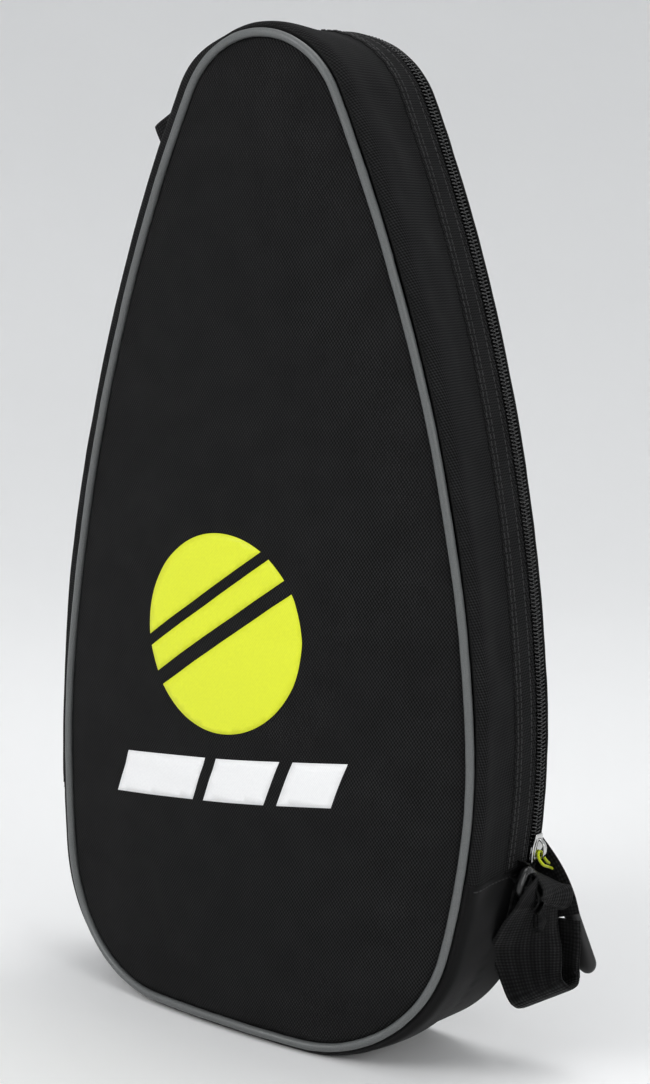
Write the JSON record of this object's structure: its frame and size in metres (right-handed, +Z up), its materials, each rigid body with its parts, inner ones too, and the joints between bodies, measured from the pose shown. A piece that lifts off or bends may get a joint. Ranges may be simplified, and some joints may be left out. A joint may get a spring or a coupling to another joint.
{
  "type": "paddle case",
  "caption": "Soft teardrop sports paddle case with piped front, zipped fold-down back panel, zip slider with rubber pull, and a diagonal webbing strap on a plastic ring.",
  "frame": {"origin": "middle of the flat stretch of the base, halfway through the case's depth", "axes": "+Z up the case, -Y out of the printed front, +X to the side with the slider and the strap ring"},
  "size_m": [0.2736, 0.087, 0.4595],
  "materials": {
    "twill": "woven twill polyester, matt",
    "plain_cloth": "plain weave polyester, matt",
    "foam": "soft foam sheet",
    "lining": "thin plain lining",
    "piping": "grey reflective piping tape",
    "lime_print": "screen print, satin",
    "white_print": "screen print, satin",
    "zip_tape": "woven zip tape",
    "zip_coil": "nylon coil",
    "binding": "grosgrain binding",
    "webbing": "ribbed polypropylene webbing",
    "bright_metal": "plated zinc casting",
    "lime_cord": "braided cord",
    "black_rubber": "moulded, matt",
    "black_plastic": "moulded acetal, satin"
  },
  "bodies": {
    "case": {"front_panel": "twill", "front_foam": "foam", "front_lining": "lining", "front_piping": "piping", "front_emblem": "lime_print", "front_stripe": "white_print", "side_gusset": "twill", "zip_band": "twill", "bottom_gusset": "plain_cloth", "gusset_lining": "lining", "front_zip_tape": "zip_tape", "front_zip_coil": "zip_coil", "back_zip_tape_end": "zip_tape", "back_zip_coil_end": "zip_coil", "zip_end_stops": "zip_coil", "lower_back_panel": "plain_cloth", "lower_back_foam": "foam", "lower_back_lining": "lining", "lower_back_binding": "binding", "strap_lower": "webbing", "lower_strap_tab": "webbing"},
    "back_door": {"back_panel": "plain_cloth", "back_foam": "foam", "back_lining": "lining", "back_binding": "binding", "back_zip_tape": "zip_tape", "back_zip_coil": "zip_coil", "strap_upper": "webbing"},
    "zip_slider": {"zip_slider": "bright_metal", "slider_bridge": "bright_metal"},
    "zip_pull": {"pull_cord": "lime_cord", "rubber_pull": "black_rubber"},
    "strap_ring": {"strap_ring": "black_plastic", "strap_end": "webbing"}
  },
  "joints": [
    {"name": "door_fold", "type": "hinge", "parent": "case", "child": "back_door", "pos_m": [0, 0.0355, 0.1085], "axis": [-1, 0, 0], "range_deg": [0, 95]},
    {"name": "zip_travel", "type": "hinge", "parent": "case", "child": "zip_slider", "pos_m": [-0.23712, 0.0297, 0.13109], "axis": [0, -1, 0], "range_deg": [0, 10.4]},
    {"name": "pull_swing", "type": "hinge", "parent": "zip_slider", "child": "zip_pull", "pos_m": [0.12619, 0.0297, 0.09815], "axis": [0, -1, 0], "range_deg": [0, 140]},
    {"name": "ring_swing", "type": "hinge", "parent": "case", "child": "strap_ring", "pos_m": [0.1295, 0.0248, 0.08726], "axis": [0, -0.8339, 0.5519], "range_deg": [0, 30]}
  ]
}
